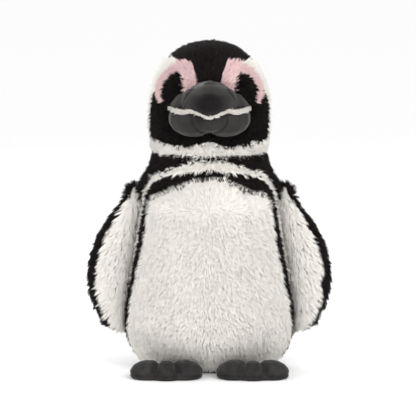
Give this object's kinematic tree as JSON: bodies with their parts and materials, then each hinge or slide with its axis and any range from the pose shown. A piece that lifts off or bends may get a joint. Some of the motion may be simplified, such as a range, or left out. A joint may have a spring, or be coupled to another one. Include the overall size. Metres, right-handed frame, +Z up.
{
  "type": "plush penguin",
  "caption": "Standing plush penguin with long pile, a velour beak and velour feet; the head turns and nods, the flippers lift and the feet flex.",
  "frame": {"origin": "on the floor under the neck's axis, in the plane of the base panel's underside", "axes": "+Z up, -Y the way the face looks, +X to the right of a viewer in front of it"},
  "size_m": [0.2408, 0.1862, 0.329],
  "materials": {
    "white_fur": "fur",
    "black_fur": "fur",
    "pink_fur": "fur",
    "velour": "velour",
    "trim": "felt",
    "fabric": "woven",
    "stuffing": "fibre",
    "pellets": "woven",
    "plastic": "gloss"
  },
  "bodies": {
    "torso": {"belly_panel_left": "white_fur", "belly_panel_right": "white_fur", "chest_stripe_black": "black_fur", "chest_stripe_white": "white_fur", "collar_panel": "black_fur", "back_panel_left": "black_fur", "back_panel_right": "black_fur", "base_panel": "fabric", "body_stuffing": "stuffing", "pellet_bag": "pellets", "tail_upper_panel": "black_fur", "tail_lower_panel": "black_fur", "tail_stuffing": "stuffing"},
    "neck": {"neck_stuffing": "stuffing"},
    "head": {"crown_panel": "black_fur", "head_back_panel": "black_fur", "brow_panel_left": "white_fur", "brow_panel_right": "white_fur", "eye_patch_left": "pink_fur", "eye_patch_right": "pink_fur", "cheek_panel_left": "black_fur", "cheek_panel_right": "black_fur", "chin_panel": "white_fur", "beak_upper": "velour", "beak_lower": "velour", "mouth_trim": "trim", "beak_upper_stuffing": "stuffing", "beak_lower_stuffing": "stuffing", "eye_left": "plastic", "eye_right": "plastic", "eye_washer_left": "plastic", "eye_washer_right": "plastic", "head_stuffing": "stuffing"},
    "flipper_left": {"flipper_inner_left": "white_fur", "flipper_outer_left": "black_fur", "flipper_stuffing_left": "stuffing"},
    "foot_left": {"foot_upper_left": "velour", "foot_sole_left": "velour", "foot_stuffing_left": "stuffing"},
    "flipper_right": {"flipper_inner_right": "white_fur", "flipper_outer_right": "black_fur", "flipper_stuffing_right": "stuffing"},
    "foot_right": {"foot_upper_right": "velour", "foot_sole_right": "velour", "foot_stuffing_right": "stuffing"}
  },
  "joints": [
    {"name": "head_turn", "type": "hinge", "parent": "torso", "child": "neck", "pos_m": [0, 0, 0.27], "axis": [0, 0, 1], "range_deg": [-25, 25], "stiffness_Nm_per_rad": 0.3},
    {"name": "head_nod", "type": "hinge", "parent": "neck", "child": "head", "pos_m": [0, 0, 0.27], "axis": [1, 0, 0], "range_deg": [-12, 12], "stiffness_Nm_per_rad": 1},
    {"name": "flipper_left_lift", "type": "hinge", "parent": "torso", "child": "flipper_left", "pos_m": [-0.07516, 0, 0.177], "axis": [0, 1, 0], "range_deg": [0, 75]},
    {"name": "flipper_right_lift", "type": "hinge", "parent": "torso", "child": "flipper_right", "pos_m": [0.07516, 0, 0.177], "axis": [0, -1, 0], "range_deg": [0, 75]},
    {"name": "foot_left_flex", "type": "hinge", "parent": "torso", "child": "foot_left", "pos_m": [-0.0425, -0.045, 0.004], "axis": [-1, 0, 0], "range_deg": [0, 7]},
    {"name": "foot_right_flex", "type": "hinge", "parent": "torso", "child": "foot_right", "pos_m": [0.0425, -0.045, 0.004], "axis": [-1, 0, 0], "range_deg": [0, 7]}
  ]
}
